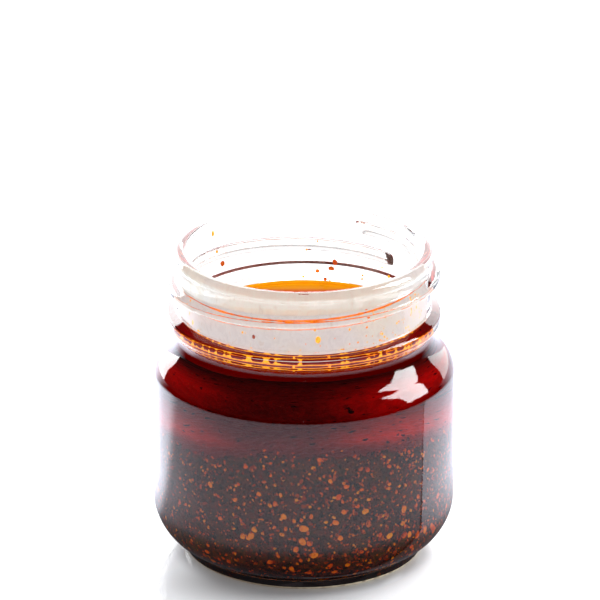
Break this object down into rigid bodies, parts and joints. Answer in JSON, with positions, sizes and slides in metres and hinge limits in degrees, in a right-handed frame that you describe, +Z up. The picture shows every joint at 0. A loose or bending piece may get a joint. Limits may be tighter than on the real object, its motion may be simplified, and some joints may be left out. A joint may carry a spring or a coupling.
{
  "type": "chili crisp jar",
  "caption": "Squat round clear glass jar with a wide screw neck, filled with dark red chili oil over settled chili flakes.",
  "frame": {"origin": "centre of the plane that the foot ring stands on", "axes": "+Z up along the axis of the jar, out of its mouth; -Y towards the front"},
  "size_m": [0.077, 0.077, 0.081],
  "materials": {
    "glass": "clear, smooth",
    "chili_oil": "liquid, dark red, clear",
    "chili_sediment": "wet, coarse, flaky"
  },
  "bodies": {
    "root": {"glass_jar": "glass", "chili_oil": "chili_oil", "chili_sediment": "chili_sediment"}
  },
  "joints": []
}
